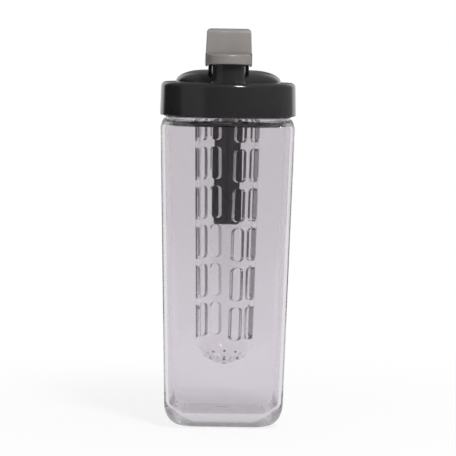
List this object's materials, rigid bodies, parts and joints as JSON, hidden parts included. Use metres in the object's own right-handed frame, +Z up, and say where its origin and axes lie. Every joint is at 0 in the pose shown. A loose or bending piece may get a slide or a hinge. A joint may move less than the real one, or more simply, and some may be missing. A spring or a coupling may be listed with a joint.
{
  "type": "infuser jug",
  "caption": "Clear square jug with a round screw lid, a flip cap over its pouring spout, a slotted infuser basket hanging inside and a handle behind the lid.",
  "frame": {"origin": "middle of the jug's base, on the surface that it stands on", "axes": "+Z up along the jug, -Y towards the pouring spout, +Y towards the handle, +X to the right seen from the spout's side"},
  "size_m": [0.088, 0.1272, 0.256],
  "materials": {
    "clear_plastic": "clear polished plastic with a faint lilac-grey tint",
    "charcoal_plastic": "smooth glossy moulded plastic",
    "grey_plastic": "satin moulded plastic, warm grey",
    "dark_silicone": "soft silicone",
    "pale_silicone": "soft translucent silicone",
    "steel": "plain stainless steel"
  },
  "bodies": {
    "jug": {"jug_body": "clear_plastic"},
    "lid_seal": {"lid_gasket": "pale_silicone"},
    "lid": {"lid_shell": "charcoal_plastic", "lid_liner": "charcoal_plastic", "spout_seal": "pale_silicone", "hinge_pin": "steel", "handle_shell": "charcoal_plastic", "handle_cover": "charcoal_plastic", "handle_screw_front": "steel", "handle_screw_rear": "steel"},
    "cap": {"flip_cap": "grey_plastic", "cap_plug": "dark_silicone"},
    "infuser": {"infuser_basket": "clear_plastic"}
  },
  "joints": [
    {"name": "lid_lift", "type": "slide", "parent": "jug", "child": "lid_seal", "axis": [0, 0, 1], "range_m": [0, 0.215]},
    {"name": "lid_turn", "type": "hinge", "parent": "lid_seal", "child": "lid", "pos_m": [0, 0, 0.205], "axis": [0, 0, 1], "range_deg": [0, 270]},
    {"name": "cap_flip", "type": "hinge", "parent": "lid", "child": "cap", "pos_m": [0, -0.0212, 0.2347], "axis": [-1, 0, 0], "range_deg": [0, 110]},
    {"name": "infuser_pull", "type": "slide", "parent": "lid", "child": "infuser", "axis": [0, 0, -1], "range_m": [0, 0.027]}
  ]
}
